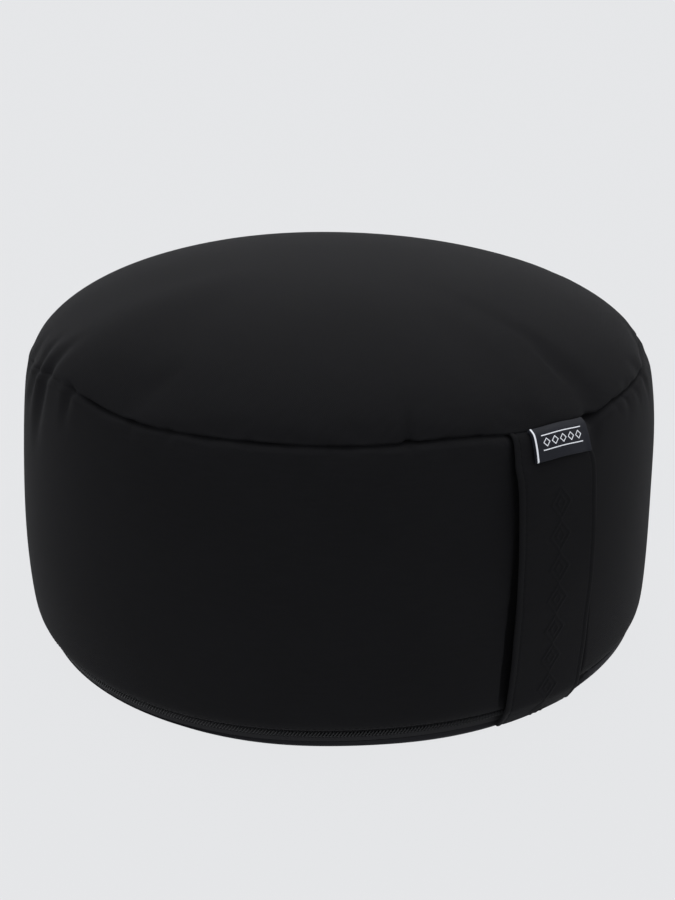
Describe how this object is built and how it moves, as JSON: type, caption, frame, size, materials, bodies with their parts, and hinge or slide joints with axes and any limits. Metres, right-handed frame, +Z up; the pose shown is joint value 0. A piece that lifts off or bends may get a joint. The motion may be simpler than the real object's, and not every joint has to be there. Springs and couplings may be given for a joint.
{
  "type": "round meditation cushion",
  "caption": "Round filled meditation cushion in black woven cotton, with a domed top, a bulging side band, a wide sewn-in handle, a coil zip under the lower edge and a folded label.",
  "frame": {"origin": "middle of the flat base, on the surface that the cushion stands on", "axes": "+Z up through the middle of the cushion, -Y towards the side that carries the handle, +X to the right of someone who faces the handle"},
  "size_m": [0.3311, 0.334, 0.1943],
  "materials": {
    "woven_cotton": "matt, closely woven",
    "strap_cotton": "matt, closely woven, folded double",
    "zip_tape_cloth": "fine herringbone tape",
    "coil_nylon": "satin nylon",
    "label_satin": "satin weave"
  },
  "bodies": {
    "root": {"cushion": "woven_cotton", "zip_tape": "zip_tape_cloth", "zip_coil": "coil_nylon", "handle_strap": "strap_cotton", "woven_label": "label_satin"}
  },
  "joints": []
}
